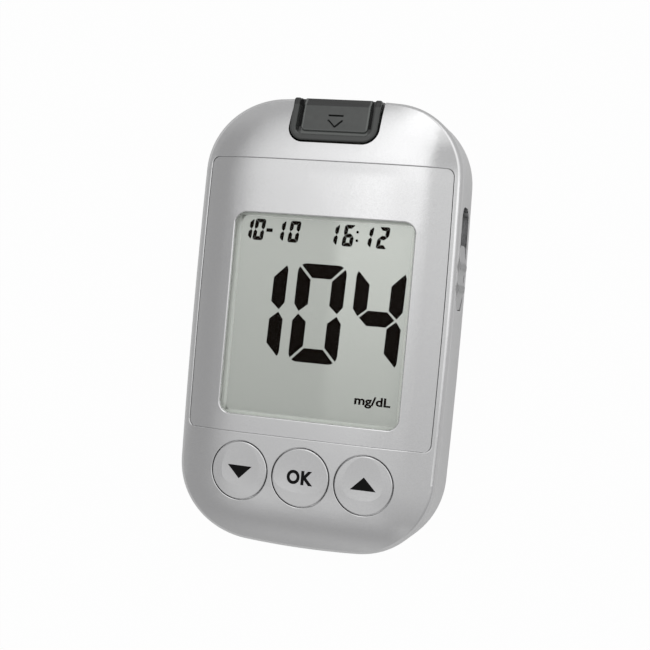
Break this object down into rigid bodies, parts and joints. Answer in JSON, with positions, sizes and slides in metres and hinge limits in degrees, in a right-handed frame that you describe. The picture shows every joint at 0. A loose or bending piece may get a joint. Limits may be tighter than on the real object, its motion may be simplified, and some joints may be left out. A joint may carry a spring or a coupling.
{
  "type": "blood glucose meter",
  "caption": "Handheld blood glucose meter with a crowned silver case, a segment display, round keys, a strip port at the top end and a side slider that ejects the strip.",
  "frame": {"origin": "middle of the flat back, where the meter rests when it lies on a table", "axes": "+X to the right of the display, +Y along the meter towards the strip port, +Z out of the display"},
  "size_m": [0.0559, 0.0939, 0.02],
  "materials": {
    "shell_silver": "satin silver lacquer with fine metal flake on ABS",
    "panel_silver": "satin silver lacquer with fine metal flake on ABS",
    "key_silver": "satin silver lacquer on ABS",
    "slider_grey": "light grey satin moulding",
    "port_dark": "dark grey semi-gloss moulding",
    "window_clear": "clear acrylic with a hard coat",
    "lcd_glass": "reflective display glass, grey-green",
    "foam_black": "black foam",
    "zebra_rubber": "layered conductive rubber",
    "frame_white": "white moulding",
    "board_green": "green solder resist over glass-epoxy laminate",
    "chip_black": "moulded epoxy",
    "crystal_can": "bright tinned steel can",
    "connector_ivory": "ivory moulding",
    "contact_gold": "gold-plated spring bronze",
    "spring_steel": "bright spring wire",
    "battery_plate": "nickel-plated steel",
    "cell_jacket": "plain printed jacket, dark grey",
    "switch_metal": "tinned steel cover",
    "switch_black": "black nylon",
    "screw_steel": "zinc-plated steel"
  },
  "bodies": {
    "root": {"front_housing": "shell_silver", "rear_housing": "shell_silver", "face_panel": "panel_silver", "window_lens": "window_clear", "lcd_gasket": "foam_black", "lcd_glass": "lcd_glass", "lcd_frame": "frame_white", "zebra_strip_top": "zebra_rubber", "zebra_strip_bottom": "zebra_rubber", "main_board": "board_green", "mcu_chip": "chip_black", "memory_chip": "chip_black", "crystal": "crystal_can", "buzzer": "chip_black", "strip_port": "port_dark", "strip_connector": "connector_ivory", "strip_contacts": "contact_gold", "battery_cell_left": "cell_jacket", "battery_cell_right": "cell_jacket", "battery_contact_positive": "battery_plate", "battery_contact_negative": "battery_plate", "battery_contact_bridge": "battery_plate", "battery_spring_left": "spring_steel", "battery_spring_right": "spring_steel", "case_screws": "screw_steel", "down_switch": "switch_metal", "ok_switch": "switch_metal", "up_switch": "switch_metal", "ejector_spring": "spring_steel"},
    "battery_door": {"battery_door": "shell_silver"},
    "ejector": {"ejector_slider": "slider_grey", "ejector_carriage": "switch_black"},
    "down_key": {"down_key": "key_silver", "down_plunger": "switch_black"},
    "ok_key": {"ok_key": "key_silver", "ok_plunger": "switch_black"},
    "up_key": {"up_key": "key_silver", "up_plunger": "switch_black"}
  },
  "joints": [
    {"name": "ejector_slide", "type": "slide", "parent": "root", "child": "ejector", "axis": [0, 1, 0], "range_m": [0, 0.0075], "stiffness_N_per_m": 60, "springref_m": -0.004, "deforming": ["ejector_spring"]},
    {"name": "battery_door_slide", "type": "slide", "parent": "root", "child": "battery_door", "axis": [0, -1, 0], "range_m": [0, 0.04]},
    {"name": "down_key_press", "type": "slide", "parent": "root", "child": "down_key", "axis": [0, 0, -1], "range_m": [0, 0.0005], "stiffness_N_per_m": 400, "springref_m": -0.0005},
    {"name": "ok_key_press", "type": "slide", "parent": "root", "child": "ok_key", "axis": [0, 0, -1], "range_m": [0, 0.0005], "stiffness_N_per_m": 400, "springref_m": -0.0005},
    {"name": "up_key_press", "type": "slide", "parent": "root", "child": "up_key", "axis": [0, 0, -1], "range_m": [0, 0.0005], "stiffness_N_per_m": 400, "springref_m": -0.0005}
  ]
}
